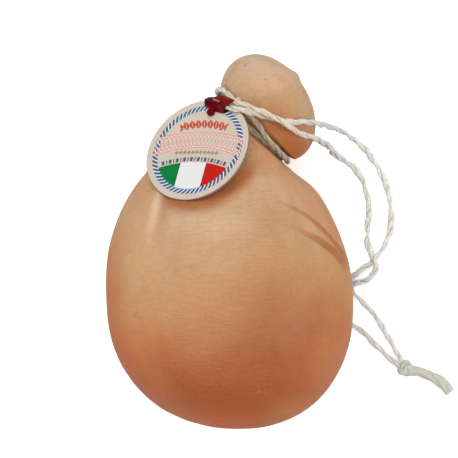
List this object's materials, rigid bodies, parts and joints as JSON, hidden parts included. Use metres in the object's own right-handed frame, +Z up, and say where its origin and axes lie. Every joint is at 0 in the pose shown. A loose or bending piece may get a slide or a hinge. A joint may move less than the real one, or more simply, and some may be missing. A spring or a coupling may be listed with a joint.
{
  "type": "smoked caciocavallo cheese",
  "caption": "Pear-shaped smoked cheese lying on its side, with twine round its neck, a hanging cord knotted at its end, a round card tag and a small plastic seal.",
  "frame": {"origin": "on the surface it lies on, under the middle of the bounding box of the cheese, its tied twine, tag and seal; the hanging cord is not counted", "axes": "+Z up, away from the surface it lies on; +Y from the body's bottom towards the head; +X towards the side the head leans to and the hanging cord lies on"},
  "size_m": [0.1873, 0.1982, 0.1299],
  "materials": {
    "rind": "satin",
    "twine": "matte",
    "card": "satin",
    "plastic": "gloss"
  },
  "bodies": {
    "root": {"cheese": "rind", "neck_turn_lower": "twine", "neck_turn_upper": "twine", "tie_knot": "twine", "tag": "card", "seal": "plastic", "strand_inner": "twine", "strand_outer": "twine", "end_knot": "twine", "tail": "twine"}
  },
  "joints": []
}
